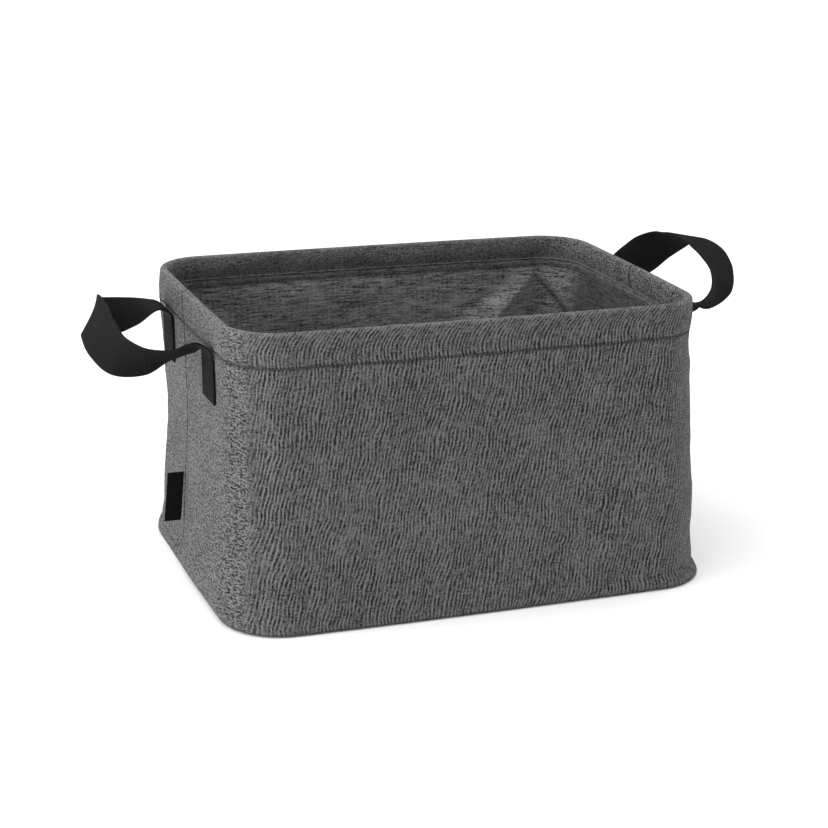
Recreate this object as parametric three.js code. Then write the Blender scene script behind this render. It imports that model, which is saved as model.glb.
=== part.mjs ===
// Collapsible fabric storage bin: a cloth box on a flat base, with a wire ring in its hem
// and a webbing handle at each end. Millimetres, +Z up, origin at the centre of the underside.
// The long side runs along X, and -Y is the front.
import * as THREE from 'three';

// Driving dimensions
const binHeight = 267;
const rimHalfLength = 220;
const rimHalfWidth = 150;
const rimCornerRadius = 45;
const baseHalfLength = 228;
const baseHalfWidth = 167;
const baseCornerRadius = 52;
const waistEnd = 6;            // how far the end walls are drawn in at mid height
const waistSide = 4;           // the same for the front and back walls
const bowEnd = 2;              // outward curve of the end walls, seen from above
const bowSide = 3;
const leftSeamY = 20;          // the left seam sits towards the back, the right one on centre

const clothThickness = 1.0;
const foamThickness = 2.0;
const liningThickness = 0.8;
const gap = 0.3;               // room between neighbouring layers

const hemBottom = 236.3;
const wallTop = hemBottom - gap;
const facingBottom = 243.5;    // the inside leg of the casing is shorter than the outside one
const wireRadius = 1.75;
const sleeveRadius = 2.5;
const sleeveBore = 2.05;
const sleeveLength = 30;

const boardThickness = 3.0;
const undersideThickness = 0.8;
const bindingHeight = 2.6;
const bindingInset = 3;
const bindingWidth = 5.7;
const footHeight = 12;         // the wall rounds in towards the floor below this height
const footInset = 6;
const footMiddle = 6;
const wallSteps = [60, 125, 188];   // heights at which the wall's curve is followed

const webbingWidth = 38;
const webbingThickness = 1.8;
const stitchedBottom = 189;
const stitchedMiddle = 205;
const strapRoot = 229;         // the strap leaves the wall here

const tagHeight = 46;
const tagReach = 15;
const tagThickness = 0.8;
const tagBottom = 46;

// Steps along the outline, counted anticlockwise from the right seam
const cornerSteps = 6;
const sideSteps = 8;
const rightEndSteps = 3;
const leftEndBackSteps = 2;
const leftEndFrontSteps = 3;
const leftSeamStep = rightEndSteps + 2 * cornerSteps + sideSteps + leftEndBackSteps;
const outlineSteps = leftSeamStep + leftEndFrontSteps + 2 * cornerSteps + sideSteps + rightEndSteps;

// Webbing loops: each station is [out from the wall, along the wall, height] and the
// direction from the middle of the webbing to the edge that is outermost at the stitched ends
const leftLoop = [
  [[0, -66, 229], [0, -1, 0]],
  [[11, -64, 235], [0.25, -0.85, 0.45]],
  [[28, -61, 231], [0.25, -0.87, 0.43]],
  [[53, -59, 226], [0.1, -0.6, 0.8]],
  [[76, -48, 231], [-0.35, -0.25, 0.9]],
  [[85, -25, 241], [-0.58, -0.1, 0.8]],
  [[89, 1, 247], [-0.6, 0, 0.8]],
  [[88, 27, 247], [-0.5, 0.05, 0.87]],
  [[79, 51, 241], [-0.2, 0.22, 0.95]],
  [[60, 68, 235], [0.12, 0.53, 0.84]],
  [[37, 76, 236], [0.2, 0.84, 0.5]],
  [[11, 77, 240], [0, 1, 0]],
  [[0, 77, 229], [0, 1, 0]],
];
const rightLoop = [
  [[0, -72, 229], [0, -1, 0]],
  [[20, -75, 244], [-0.18, -0.98, 0.06]],
  [[39, -77, 250], [-0.33, -0.64, 0.7]],
  [[54, -68, 264], [-0.74, -0.15, 0.66]],
  [[60, -48, 277], [-0.93, 0, 0.37]],
  [[61, -24, 286], [-0.98, 0, 0.2]],
  [[61, 1, 289], [-0.98, 0, 0.2]],
  [[60, 25, 287], [-0.98, 0, 0.2]],
  [[59, 46, 279], [-0.9, 0.07, 0.44]],
  [[53, 65, 268], [-0.75, 0.14, 0.64]],
  [[39, 76, 254], [-0.42, 0.59, 0.69]],
  [[18, 75, 244], [-0.2, 0.95, 0.24]],
  [[0, 74, 229], [0, 1, 0]],
];
const loopSteps = 60;
const evenPasses = 3;          // how often the turn of the webbing is averaged with its neighbours

const bin = new THREE.Group();

const colours = {
  cloth: 0x5c5b5c,
  lining: 0x4a494a,
  webbing: 0x1d1c1e,
  tape: 0x2a292b,
  underside: 0x19191a,
  foam: 0xd8d6d0,
  board: 0x8a6f4e,
  steel: 0xa9abae,
};

function addPiece(name, geometry, colour, roughness = 0.95, metalness = 0) {
  const material = new THREE.MeshStandardMaterial({ color: colour, roughness, metalness });
  const mesh = new THREE.Mesh(geometry, material);
  mesh.name = name;
  bin.add(mesh);
}

// Half length, half width and corner radius of the outside at a height
function sizeAt(z) {
  const share = z / binHeight;
  const waist = Math.sin(Math.PI * Math.min(1, Math.max(0, share)));
  const foot = footInset * Math.pow(Math.max(0, 1 - z / footHeight), 2);
  return {
    halfLength: THREE.MathUtils.lerp(baseHalfLength, rimHalfLength, share) - waistEnd * waist - foot,
    halfWidth: THREE.MathUtils.lerp(baseHalfWidth, rimHalfWidth, share) - waistSide * waist - foot,
    radius: THREE.MathUtils.lerp(baseCornerRadius, rimCornerRadius, share),
  };
}

// One point of the outline at a height, moved inwards by inset
function outlinePoint(step, z, inset) {
  const size = sizeAt(z);
  const halfLength = size.halfLength - inset;
  const halfWidth = size.halfWidth - inset;
  const radius = size.radius - inset;
  const flatX = halfLength - radius;
  const flatY = halfWidth - radius;
  const point = straightOrCorner(step, halfLength, halfWidth, radius, flatX, flatY);
  const bowX = bowEnd * Math.max(0, 1 - (point.y / halfWidth) ** 2) * (point.x / halfLength);
  const bowY = bowSide * Math.max(0, 1 - (point.x / halfLength) ** 2) * (point.y / halfWidth);
  return new THREE.Vector3(point.x + bowX, point.y + bowY, z);
}

// The plain rounded rectangle, walked as straights and corners in turn
function straightOrCorner(step, halfLength, halfWidth, radius, flatX, flatY) {
  const { lerp } = THREE.MathUtils;
  const corner = (cx, cy, turn, t) => {
    const angle = (turn + t) * Math.PI / 2;
    return new THREE.Vector2(cx + radius * Math.cos(angle), cy + radius * Math.sin(angle));
  };
  const stretches = [
    [rightEndSteps, (t) => new THREE.Vector2(halfLength, lerp(0, flatY, t))],
    [cornerSteps, (t) => corner(flatX, flatY, 0, t)],
    [sideSteps, (t) => new THREE.Vector2(lerp(flatX, -flatX, t), halfWidth)],
    [cornerSteps, (t) => corner(-flatX, flatY, 1, t)],
    [leftEndBackSteps, (t) => new THREE.Vector2(-halfLength, lerp(flatY, leftSeamY, t))],
    [leftEndFrontSteps, (t) => new THREE.Vector2(-halfLength, lerp(leftSeamY, -flatY, t))],
    [cornerSteps, (t) => corner(-flatX, -flatY, 2, t)],
    [sideSteps, (t) => new THREE.Vector2(lerp(-flatX, flatX, t), -halfWidth)],
    [cornerSteps, (t) => corner(flatX, -flatY, 3, t)],
    [rightEndSteps, (t) => new THREE.Vector2(halfLength, lerp(-flatY, 0, t))],
  ];
  let left = step % outlineSteps;
  for (const [steps, place] of stretches) {
    if (left < steps) return place(left / steps);
    left -= steps;
  }
  return stretches[0][1](0);
}

function meshFrom(points, triangles) {
  const geometry = new THREE.BufferGeometry();
  const flat = points.flatMap((p) => [p.x, p.y, p.z]);
  geometry.setAttribute('position', new THREE.Float32BufferAttribute(flat, 3));
  geometry.setIndex(triangles);
  geometry.computeVertexNormals();
  return geometry;
}

// Joins equal rings of points into one closed solid. Rings run anticlockwise as seen from
// the start of the run, and the two ends are capped unless the run closes on itself.
function joinRings(rings, closesOnItself) {
  const count = rings[0].length;
  const triangles = [];
  const runs = closesOnItself ? rings.length : rings.length - 1;
  for (let i = 0; i < runs; i++) {
    const here = i * count;
    const next = ((i + 1) % rings.length) * count;
    for (let k = 0; k < count; k++) {
      const m = (k + 1) % count;
      triangles.push(here + k, next + k, next + m, here + k, next + m, here + m);
    }
  }
  return { points: rings.flat(), triangles, count };
}

// Sweeps a section of [inset, height] points round the outline from one step to another
function sweepSection(profile, first, last) {
  const closesOnItself = last - first === outlineSteps;
  const turn = THREE.ShapeUtils.area(profile.map(([inset, z]) => new THREE.Vector2(inset, z)));
  const section = turn > 0 ? [...profile].reverse() : profile;
  const rings = [];
  for (let step = first; step < last + (closesOnItself ? 0 : 1); step++) {
    const ring = section.map(([inset, z]) => outlinePoint(step, z, inset));
    if (!closesOnItself) shortenAtSeam(ring, step === first, step === last);
    rings.push(ring);
  }
  const joined = joinRings(rings, closesOnItself);
  if (!closesOnItself) capEnds(joined, section, rings.length);
  return meshFrom(joined.points, joined.triangles);
}

// Draws a panel's two ends back by half a gap, so that it clears the panel it is sewn to
function shortenAtSeam(ring, isFirst, isLast) {
  if (!isFirst && !isLast) return;
  const anticlockwise = ring[0].x > 0 ? 1 : -1;
  const back = (isFirst ? 1 : -1) * anticlockwise * gap / 2;
  ring.forEach((point) => { point.y += back; });
}

function capEnds(joined, section, ringCount) {
  const contour = section.map(([inset, z]) => new THREE.Vector2(inset, z));
  const faces = THREE.ShapeUtils.triangulateShape(contour, []);
  const end = (ringCount - 1) * joined.count;
  for (const face of faces) {
    const corners = face.map((k) => contour[k]);
    const [a, b, c] = THREE.ShapeUtils.area(corners) < 0 ? face : [...face].reverse();
    joined.triangles.push(a, b, c, end + a, end + c, end + b);
  }
}

// A layer of the wall, from its outer face inwards
function wallSection(inset, thickness, heights) {
  const outside = heights.map((z) => [inset, z]);
  const inside = heights.map((z) => [inset + thickness, z]).reverse();
  return [...outside, ...inside];
}

function plate(inset, bottom, thickness, sizeHeight) {
  const outline = [];
  for (let step = 0; step < outlineSteps; step++) {
    const point = outlinePoint(step, sizeHeight, inset);
    outline.push(new THREE.Vector2(point.x, point.y));
  }
  const shape = new THREE.Shape(outline);
  const geometry = new THREE.ExtrudeGeometry(shape, { depth: thickness, bevelEnabled: false });
  geometry.translate(0, 0, bottom);
  return geometry;
}

// Base: binding round the edge, black underside, stiff board and the lining over it
function buildBase() {
  const outerInset = bindingInset;
  const innerInset = bindingInset + bindingWidth;
  const binding = [[innerInset, 0], [innerInset, bindingHeight],
    [outerInset, bindingHeight], [outerInset, 0]];
  addPiece('base_binding', sweepSection(binding, 0, outlineSteps), colours.tape);

  const undersideInset = innerInset + gap;
  addPiece('underside_cover', plate(undersideInset, 0, undersideThickness, 0), colours.underside);

  const boardBottom = undersideThickness + gap;
  const board = plate(undersideInset, boardBottom, boardThickness, 0);
  addPiece('base_board', board, colours.board, 0.8);

  const liningBottom = boardBottom + boardThickness + gap;
  const lining = plate(undersideInset, liningBottom, liningThickness, 0);
  addPiece('base_lining', lining, colours.lining);
}

// Walls: outer cloth, foam and lining, each in a back half and a front half
function buildWalls() {
  const footBottom = bindingHeight + gap;
  const innerHeights = [footHeight, ...wallSteps, wallTop];
  const heights = [footBottom, footMiddle, ...innerHeights];
  const foamInset = clothThickness + gap;
  const liningInset = foamInset + foamThickness + gap;
  const layers = [
    ['wall', wallSection(0, clothThickness, heights), colours.cloth],
    ['wall_foam', wallSection(foamInset, foamThickness, innerHeights), colours.foam],
    ['lining', wallSection(liningInset, liningThickness, innerHeights), colours.lining],
  ];
  for (const [name, section, colour] of layers) {
    addPiece(`${name}_back`, sweepSection(section, 0, leftSeamStep), colour);
    addPiece(`${name}_front`, sweepSection(section, leftSeamStep, outlineSteps), colour);
  }
}

// Rim: a casing folded over the wire ring, with a binding tape along its inside edge
const casingRadius = sleeveRadius + gap + clothThickness;
const wireHeight = binHeight - casingRadius;

function casingSection() {
  const bore = casingRadius - clothThickness;
  const width = 2 * casingRadius;
  const arcSteps = 5;
  const arc = (radius, from, to) => {
    const points = [];
    for (let i = 0; i <= arcSteps; i++) {
      const angle = THREE.MathUtils.lerp(from, to, i / arcSteps);
      const inset = casingRadius - radius * Math.cos(angle);
      points.push([inset, wireHeight + radius * Math.sin(angle)]);
    }
    return points;
  };
  const legTurn = 255;          // below this height the inside leg slants out to the wall
  const legInset = 4.6;
  return [
    [legInset + clothThickness, facingBottom],
    [legInset, facingBottom],
    [width - clothThickness, legTurn],
    ...arc(bore, Math.PI, 0),
    [clothThickness, hemBottom],
    [0, hemBottom],
    ...arc(casingRadius, 0, Math.PI),
    [width, legTurn],
  ];
}

function buildRim() {
  const casing = casingSection();
  addPiece('hem_casing_back', sweepSection(casing, 0, leftSeamStep), colours.cloth);
  addPiece('hem_casing_front', sweepSection(casing, leftSeamStep, outlineSteps), colours.cloth);

  const wireSides = 8;
  const wire = [];
  for (let i = 0; i < wireSides; i++) {
    const angle = 2 * Math.PI * i / wireSides;
    wire.push([casingRadius - wireRadius * Math.cos(angle), wireHeight - wireRadius * Math.sin(angle)]);
  }
  addPiece('rim_wire', sweepSection(wire, 0, outlineSteps), colours.steel, 0.4, 0.9);

  const half = sleeveLength / 2;
  const profile = [[sleeveBore, -half], [sleeveRadius, -half], [sleeveRadius, half],
    [sleeveBore, half], [sleeveBore, -half]];
  const sleeve = new THREE.LatheGeometry(profile.map(([x, y]) => new THREE.Vector2(x, y)), 16);
  sleeve.rotateZ(Math.PI / 2);
  const middle = rightEndSteps + cornerSteps + sideSteps / 2;
  const place = outlinePoint(middle, wireHeight, casingRadius);
  sleeve.translate(place.x, place.y, place.z);
  addPiece('wire_sleeve', sleeve, colours.steel, 0.45, 0.9);

  const tapeOuter = 4.7;
  const tapeInner = tapeOuter + liningThickness;
  const tapeTop = facingBottom - gap;
  const tape = [[tapeInner, hemBottom], [tapeInner, tapeTop], [tapeOuter, tapeTop], [tapeOuter, hemBottom]];
  addPiece('rim_tape', sweepSection(tape, 0, outlineSteps), colours.tape);
}

// X of the outside of an end wall at a place along it
function endWallX(y, z) {
  const size = sizeAt(z);
  return size.halfLength + bowEnd * (1 - (y / size.halfWidth) ** 2);
}

// The stitched end of a handle, flat against the end wall from the root down
function strapEnd(side, centreY) {
  const rows = [stitchedBottom, stitchedMiddle, strapRoot - gap];
  const half = webbingWidth / 2;
  const rings = rows.map((z) => {
    const corners = [[-half, 0], [half, 0], [half, 1], [-half, 1]];
    return corners.map(([along, out]) => {
      const y = centreY + along;
      const clear = endWallX(y, z) + gap + out * webbingThickness;
      return new THREE.Vector3(side * clear, y, z);
    });
  });
  if (side < 0) rings.forEach((ring) => ring.reverse());
  return capped(rings);
}

// Closes a run of four-cornered rings at both ends
function capped(rings) {
  const joined = joinRings(rings, false);
  const end = (rings.length - 1) * 4;
  joined.triangles.push(0, 1, 2, 0, 2, 3);
  joined.triangles.push(end, end + 2, end + 1, end, end + 3, end + 2);
  return meshFrom(joined.points, joined.triangles);
}

// Averages each direction with its neighbours, and leaves the first and last
function evenOut(directions) {
  for (let pass = 0; pass < evenPasses; pass++) {
    const before = directions.map((direction) => direction.clone());
    for (let i = 1; i < directions.length - 1; i++) {
      directions[i].add(before[i - 1]).add(before[i + 1]).normalize();
    }
  }
}

// The free loop of a handle: a flat ribbon that twists along its path
function strapLoop(side, stations) {
  const path = new THREE.CatmullRomCurve3(stations.map(([place]) => new THREE.Vector3(...place)));
  const turn = new THREE.CatmullRomCurve3(stations.map(([, edge]) => new THREE.Vector3(...edge)));
  const shares = [];
  for (let i = 0; i <= loopSteps; i++) shares.push(path.getUtoTmapping(i / loopSteps));
  const edges = shares.map((t) => turn.getPoint(t).normalize());
  evenOut(edges);
  const half = webbingWidth / 2;
  const rings = shares.map((t, i) => {
    const atEnd = i === 0 || i === loopSteps;
    const along = atEnd ? new THREE.Vector3(0, 0, i === 0 ? 1 : -1) : path.getTangent(t);
    const centre = path.getPoint(t);
    const edge = edges[i].clone();
    edge.addScaledVector(along, -edge.dot(along)).normalize();
    const face = new THREE.Vector3().crossVectors(along, edge);
    return [[-1, -1], [1, -1], [1, 1], [-1, 1]].map(([width, thick]) => {
      const p = centre.clone();
      p.addScaledVector(edge, width * half);
      p.addScaledVector(face, thick * webbingThickness / 2);
      return new THREE.Vector3(side * (rootX(stations) + p.x), p.y, p.z);
    });
  });
  if (side > 0) rings.forEach((ring) => ring.reverse());
  return capped(rings);
}

// Middle plane of the webbing where a strap leaves the wall
function rootX(stations) {
  const roots = [stations[0][0][1], stations[stations.length - 1][0][1]];
  const nearest = Math.max(...roots.map((y) => endWallX(Math.abs(y) - webbingWidth / 2, strapRoot)));
  return nearest + gap + webbingThickness / 2;
}

function buildHandles() {
  for (const [name, side, stations] of [['left', -1, leftLoop], ['right', 1, rightLoop]]) {
    addPiece(`handle_loop_${name}`, strapLoop(side, stations), colours.webbing, 0.85);
    const frontY = stations[0][0][1];
    const rearY = stations[stations.length - 1][0][1];
    addPiece(`handle_end_${name}_front`, strapEnd(side, frontY), colours.webbing, 0.85);
    addPiece(`handle_end_${name}_rear`, strapEnd(side, rearY), colours.webbing, 0.85);
  }
}

// Blank flag label, standing out from the left seam
function buildTag() {
  const tag = new THREE.BoxGeometry(tagReach, tagThickness, tagHeight);
  const wallX = endWallX(leftSeamY, tagBottom + tagHeight);
  const lowX = endWallX(leftSeamY, tagBottom);
  const outermost = Math.max(wallX, lowX) + gap;
  tag.translate(-(outermost + tagReach / 2), leftSeamY, tagBottom + tagHeight / 2);
  addPiece('side_tag', tag, colours.underside, 0.7);
}

buildBase();
buildWalls();
buildRim();
buildHandles();
buildTag();

export default bin;
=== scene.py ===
import math
import bpy
import numpy as np
from mathutils import Matrix, Vector


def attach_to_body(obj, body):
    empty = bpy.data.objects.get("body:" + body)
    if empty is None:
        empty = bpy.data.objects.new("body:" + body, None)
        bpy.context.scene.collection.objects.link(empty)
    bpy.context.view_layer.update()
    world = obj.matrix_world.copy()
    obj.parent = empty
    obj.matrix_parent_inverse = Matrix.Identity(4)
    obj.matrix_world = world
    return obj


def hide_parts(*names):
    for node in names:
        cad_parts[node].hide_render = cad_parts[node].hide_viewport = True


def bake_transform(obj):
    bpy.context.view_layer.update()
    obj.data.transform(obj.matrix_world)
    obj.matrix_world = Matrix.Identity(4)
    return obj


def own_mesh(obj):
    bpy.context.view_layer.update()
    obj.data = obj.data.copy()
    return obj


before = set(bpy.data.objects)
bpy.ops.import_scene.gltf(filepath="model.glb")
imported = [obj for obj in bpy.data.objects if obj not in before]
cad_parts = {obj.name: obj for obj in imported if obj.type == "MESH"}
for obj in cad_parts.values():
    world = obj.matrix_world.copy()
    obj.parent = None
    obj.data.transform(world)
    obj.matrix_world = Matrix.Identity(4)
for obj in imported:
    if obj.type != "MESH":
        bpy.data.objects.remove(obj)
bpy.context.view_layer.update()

print("frame loaded:", len(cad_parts), "CAD nodes")

mm = 0.001      # lengths below are in millimetres until a mesh is made


# camelCase label as the name of a node socket, such as linePitch as Line Pitch
def spaced(label):
    return "".join(" " + c if c.isupper() else c for c in label).title()


def linked(name, data):
    thing = bpy.data.objects.new(name, data)
    bpy.context.scene.collection.objects.link(thing)
    return thing


# Camera, light and floor

cameraView = dict(lens=86.79, sensor=36, azimuth=-20.75, elevation=17.39, roll=1.23, nearest=0.05,
                  farthest=40, distance=1.88434, target=(-0.00453, 0, 0.13676))


def makeCamera():
    azimuth, elevation, roll = (math.radians(cameraView[k]) for k in ("azimuth", "elevation", "roll"))
    level = math.cos(elevation)
    back = Vector((math.sin(azimuth) * level, -math.cos(azimuth) * level, math.sin(elevation)))
    right = Vector((math.cos(azimuth), math.sin(azimuth), 0))
    up = back.cross(right)
    camRight = right * math.cos(roll) + up * math.sin(roll)
    camUp = up * math.cos(roll) - right * math.sin(roll)
    data = bpy.data.cameras.new("binCamera")
    data.lens, data.sensor_width = cameraView["lens"], cameraView["sensor"]
    data.clip_start, data.clip_end = cameraView["nearest"], cameraView["farthest"]
    camera = linked("binCamera", data)
    turn = Matrix((camRight, camUp, back)).transposed().to_4x4()
    place = Vector(cameraView["target"]) + back * cameraView["distance"]
    camera.matrix_world = Matrix.Translation(place) @ turn
    bpy.context.scene.camera = camera


makeCamera()
print("camera placed")

studio = dict(skyStrength=1.3, floorTone=0.90, floorRough=0.9, floorSpecular=0.1, floorReach=14,
              keyPower=44, keySize=1.1, keyPlace=(-2.3, -0.2, 0.55), aim=(0, 0, 0.15),
              topPower=10, topSize=1.2, topPlace=(-0.9, -0.3, 2.0))


def aimedLight(name, power, size, place):
    data = bpy.data.lights.new(name, "AREA")
    data.energy, data.size = power, size
    light = linked(name, data)
    light.location = place
    light.rotation_euler = (Vector(studio["aim"]) - Vector(place)).to_track_quat("-Z", "Y").to_euler()


def makeStudio():
    scene = bpy.context.scene
    scene.view_settings.view_transform = "Standard"
    world = bpy.data.worlds.new("paleStudio")
    world.use_nodes = True
    sky = world.node_tree.nodes["Background"]
    sky.inputs["Color"].default_value = (1, 1, 1, 1)
    sky.inputs["Strength"].default_value = studio["skyStrength"]
    scene.world = world
    reach = studio["floorReach"]
    mesh = bpy.data.meshes.new("studioFloor")
    corners = [(-reach, -reach, 0), (reach, -reach, 0), (reach, reach, 0), (-reach, reach, 0)]
    mesh.from_pydata(corners, [], [(0, 1, 2, 3)])
    paint = bpy.data.materials.new("palePaper")
    paint.use_nodes = True
    shader = paint.node_tree.nodes["Principled BSDF"]
    shader.inputs["Base Color"].default_value = (studio["floorTone"],) * 3 + (1,)
    shader.inputs["Roughness"].default_value = studio["floorRough"]
    shader.inputs["Specular IOR Level"].default_value = studio["floorSpecular"]
    mesh.materials.append(paint)
    linked("studioFloor", mesh)
    aimedLight("windowLight", studio["keyPower"], studio["keySize"], studio["keyPlace"])
    aimedLight("topLight", studio["topPower"], studio["topSize"], studio["topPlace"])


makeStudio()
print("studio lit")

# Shader groups


def newGroup(name, inputs, outputs):
    tree = bpy.data.node_groups.new(name, "ShaderNodeTree")
    for label, value in inputs.items():
        kind = "NodeSocketColor" if isinstance(value, tuple) else "NodeSocketFloat"
        tree.interface.new_socket(name=spaced(label), in_out="INPUT", socket_type=kind).default_value = value
    for label in outputs:
        kind = "NodeSocketColor" if label == "Color" else "NodeSocketFloat"
        tree.interface.new_socket(name=label, in_out="OUTPUT", socket_type=kind)
    return tree, tree.nodes.new("NodeGroupInput").outputs, tree.nodes.new("NodeGroupOutput").inputs


def plug(tree, socket, value):
    if isinstance(value, bpy.types.NodeSocket):
        tree.links.new(value, socket)
    else:
        socket.default_value = value


# One math node, or a row of them where more than two values are added or multiplied
def calc(tree, operation, first, *others):
    for other in others or (0,):
        node = tree.nodes.new("ShaderNodeMath")
        node.operation = operation
        plug(tree, node.inputs[0], first)
        plug(tree, node.inputs[1], other)
        first = node.outputs[0]
    return first


def ripples(tree, place, pitch):
    turns = calc(tree, "MULTIPLY", calc(tree, "DIVIDE", place, pitch), 2 * math.pi)
    return calc(tree, "SINE", turns)


def ramp(tree, value, low, high, outLow=0.0, outHigh=1.0):
    node = tree.nodes.new("ShaderNodeMapRange")
    node.interpolation_type = "SMOOTHSTEP"
    for label, item in (("Value", value), ("From Min", low), ("From Max", high),
                        ("To Min", outLow), ("To Max", outHigh)):
        plug(tree, node.inputs[label], item)
    return node.outputs["Result"]


def streaks(tree, across, along, acrossSize, alongSize, detail=1.0, seed=0.0):
    join = tree.nodes.new("ShaderNodeCombineXYZ")
    plug(tree, join.inputs[0], calc(tree, "DIVIDE", across, acrossSize))
    plug(tree, join.inputs[1], calc(tree, "DIVIDE", along, alongSize))
    join.inputs[2].default_value = seed
    noise = tree.nodes.new("ShaderNodeTexNoise")
    tree.links.new(join.outputs[0], noise.inputs["Vector"])
    noise.inputs["Scale"].default_value = 1
    noise.inputs["Detail"].default_value = detail
    return noise.outputs["Fac"]


def mixTones(tree, amount, low, high):
    node = tree.nodes.new("ShaderNodeMix")
    node.data_type = "RGBA"
    plug(tree, node.inputs["Factor"], amount)
    plug(tree, node.inputs["A"], low)
    plug(tree, node.inputs["B"], high)
    return node.outputs["Result"]


# Noises of the melange cloth, as [size across, size along, detail, seed], and their shares
threadNoise = dict(drift=(34, 46, 2, 3.1), ripple=(9, 12, 1, 5.7), cloud=(42, 55, 2, 6.6),
                   dashes=(2.1, 6.5, 2, 1.3), endSpeckle=(3.0, 1.4, 2, 8.2), longSpeckle=(1.5, 1.7, 2, 9.2))
threadShare = dict(drift=11, ripple=2.6, line=0.5, pepper=3, slub=3, cloud=0.35, endPepper=2.5,
                   slubWidth=1.45, slubSeed=2.4, warpPitch=0.85, weftPitch=0.95)
threadHeight = dict(weave=0.35, line=0.25, pepper=1.2)


# Thread pattern of the melange cloth, on a surface unrolled to millimetres
def linenGroup():
    tree, given, result = newGroup("linenThreads", dict(
        across=0.0, along=0.0, slubLength=7.0, linePitch=4.3, lean=0.2, curve=0.0, lineStrength=1.0,
        slub=0.3, pepper=0.5), ("Tone", "Height"))
    across, along, strength = given["Across"], given["Along"], given["Line Strength"]
    part = threadShare

    def swing(noise):
        return calc(tree, "SUBTRACT", streaks(tree, across, along, *noise), 0.5)

    slant = calc(tree, "MULTIPLY", along, given["Lean"])
    bend = calc(tree, "MULTIPLY", along, along, given["Curve"])
    place = calc(tree, "SUBTRACT", across, slant, bend)
    place = calc(tree, "ADD", place, calc(tree, "MULTIPLY", swing(threadNoise["drift"]), part["drift"]),
                 calc(tree, "MULTIPLY", swing(threadNoise["ripple"]), part["ripple"]))
    wave = ripples(tree, place, given["Line Pitch"])
    dashes = streaks(tree, place, along, *threadNoise["dashes"])
    line = calc(tree, "MULTIPLY", ramp(tree, wave, -0.5, 1.0, -0.75, 1),
                ramp(tree, dashes, 0.34, 0.62, 0.0, 1.5), strength)
    # speckle is longer on the ends, where the lines fade out
    speckle = tree.nodes.new("ShaderNodeMix")
    plug(tree, speckle.inputs["Factor"], ramp(tree, strength, 0.0, 0.5))
    plug(tree, speckle.inputs["A"], streaks(tree, across, along, *threadNoise["endSpeckle"]))
    plug(tree, speckle.inputs["B"], streaks(tree, across, along, *threadNoise["longSpeckle"]))
    pepper = calc(tree, "MULTIPLY", calc(tree, "SUBTRACT", speckle.outputs["Result"], 0.5),
                  ramp(tree, strength, 0.0, 0.5, part["endPepper"], 1.0))
    slub = swing((given["Slub Length"], part["slubWidth"], 2, part["slubSeed"]))
    tone = calc(tree, "ADD", calc(tree, "MULTIPLY", line, part["line"]),
                calc(tree, "MULTIPLY", pepper, given["Pepper"], part["pepper"]),
                calc(tree, "MULTIPLY", slub, given["Slub"], part["slub"]),
                calc(tree, "MULTIPLY", swing(threadNoise["cloud"]), part["cloud"]), 0.5)
    weave = calc(tree, "MULTIPLY", ripples(tree, across, part["warpPitch"]),
                 ripples(tree, along, part["weftPitch"]), threadHeight["weave"])
    height = calc(tree, "ADD", weave, calc(tree, "MULTIPLY", line, threadHeight["line"]),
                  calc(tree, "MULTIPLY", pepper, threadHeight["pepper"]))
    tree.links.new(tone, result["Tone"])
    tree.links.new(height, result["Height"])
    return tree


ribShare = dict(yarnShift=0.6, ribTone=0.22, yarnTone=0.1, fluffTone=0.6, baseTone=0.2, ribHeight=0.6,
                yarnHeight=0.4, fluff=(0.9, 0.9, 3, 4.0), patches=(3.5, 2.5, 3, 9.4))


# Cross ribs and speckle of webbing, tape and label, on the same kind of surface
def ribGroup():
    tree, given, result = newGroup("ribbedWeave", dict(across=0.0, along=0.0, ribPitch=1.7, yarnPitch=1.1),
                                   ("Tone", "Height"))
    across, along, part = given["Across"], given["Along"], ribShare
    rib = ripples(tree, along, given["Rib Pitch"])
    turns = calc(tree, "MULTIPLY", calc(tree, "DIVIDE", across, given["Yarn Pitch"]), 2 * math.pi)
    yarn = calc(tree, "SINE", calc(tree, "ADD", calc(tree, "MULTIPLY", rib, part["yarnShift"]), turns))
    fluff = streaks(tree, across, along, *part["fluff"])
    tone = calc(tree, "ADD", calc(tree, "MULTIPLY", rib, part["ribTone"]),
                calc(tree, "MULTIPLY", yarn, part["yarnTone"]),
                calc(tree, "MULTIPLY", fluff, part["fluffTone"]), part["baseTone"])
    height = calc(tree, "ADD", calc(tree, "MULTIPLY", rib, part["ribHeight"]),
                  calc(tree, "MULTIPLY", yarn, part["yarnHeight"]))
    tree.links.new(tone, result["Tone"])
    tree.links.new(height, result["Height"])
    return tree


# Rubbed and dusty edges, and a painted highlight along the facing's bottom edge: lighter where the mesh
# attribute of rubbing and highlight is high, broken up by noise
def wearAndHighlightGroup():
    tree, given, result = newGroup("rubbedEdgesAndHighlights", dict(
        color=(0.1, 0.1, 0.1, 1), dust=(0.3, 0.3, 0.3, 1), worn=0.0, amount=0.3, across=0.0, along=0.0),
        ("Color", "Mask"))
    noise = streaks(tree, given["Across"], given["Along"], *ribShare["patches"])
    mask = calc(tree, "MULTIPLY", given["Worn"], ramp(tree, noise, 0.35, 0.7), given["Amount"])
    tree.links.new(mixTones(tree, mask, given["Color"], given["Dust"]), result["Color"])
    tree.links.new(mask, result["Mask"])
    return tree


groups = dict(linen=linenGroup(), rib=ribGroup(), wear=wearAndHighlightGroup())


# The unrolled UV map in millimetres
def unrolled(tree):
    uv = tree.nodes.new("ShaderNodeUVMap")
    uv.uv_map = "unrolled"
    split = tree.nodes.new("ShaderNodeSeparateXYZ")
    tree.links.new(uv.outputs["UV"], split.inputs[0])
    return [calc(tree, "MULTIPLY", split.outputs[k], 1 / mm) for k in range(2)]


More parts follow.
